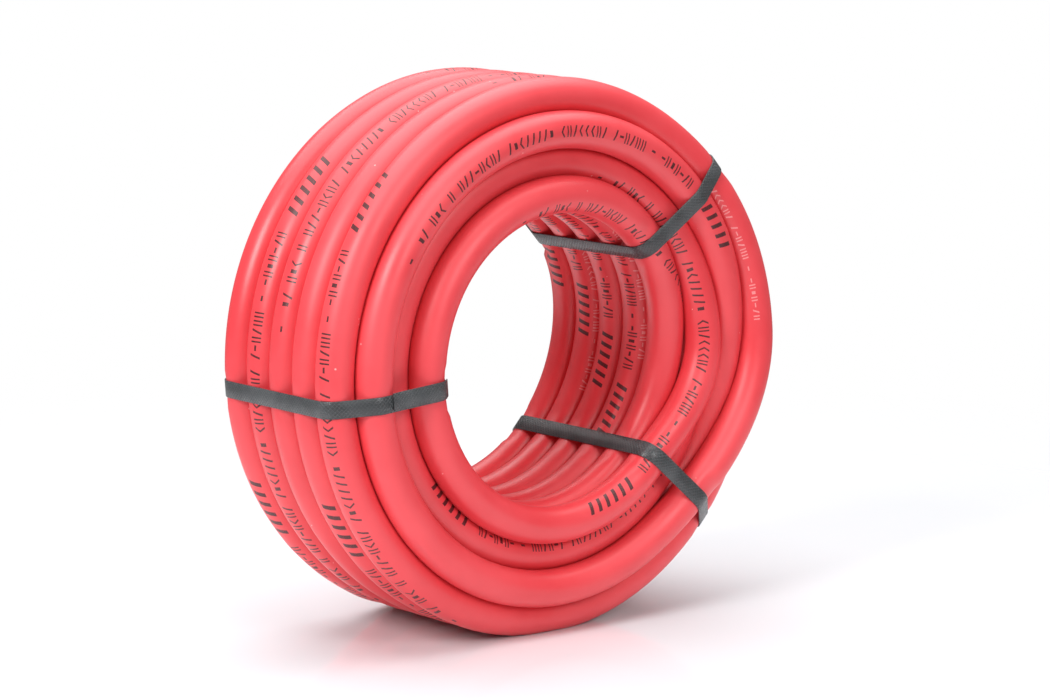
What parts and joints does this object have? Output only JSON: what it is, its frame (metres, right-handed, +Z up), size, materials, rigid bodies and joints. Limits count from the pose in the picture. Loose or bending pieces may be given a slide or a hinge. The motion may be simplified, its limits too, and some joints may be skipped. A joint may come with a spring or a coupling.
{
  "type": "coiled air hose",
  "caption": "Rubber air hose wound into a nested coil that stands on its rim, held by packing straps, with a crimped brass pipe-thread coupling on each end",
  "frame": {"origin": "on the ground under the middle of the coil, on the flat where it rests", "axes": "+Y along the coil's axis, towards the face that the two ends lie on; +Z up; the hose winds anticlockwise seen from -Y"},
  "size_m": [0.2957, 0.1465, 0.2927],
  "materials": {
    "hose_cover": "matte red moulded rubber with printed marks",
    "textile_cords": "white spiralled textile cords",
    "black_liner": "smooth black rubber",
    "brass": "machined and crimped yellow brass",
    "packing_strap": "embossed slate-grey polypropylene"
  },
  "bodies": {
    "root": {"hose_coil": "hose_cover", "inner_tail": "hose_cover", "inner_end_cover": "hose_cover", "inner_end_cords": "textile_cords", "inner_end_liner": "black_liner", "inner_ferrule": "brass", "inner_coupling": "brass", "outer_tail": "hose_cover", "outer_end_cover": "hose_cover", "outer_end_cords": "textile_cords", "outer_end_liner": "black_liner", "outer_ferrule": "brass", "outer_coupling": "brass", "strap_left": "packing_strap", "strap_upper_right": "packing_strap", "strap_lower_right": "packing_strap"}
  },
  "joints": []
}
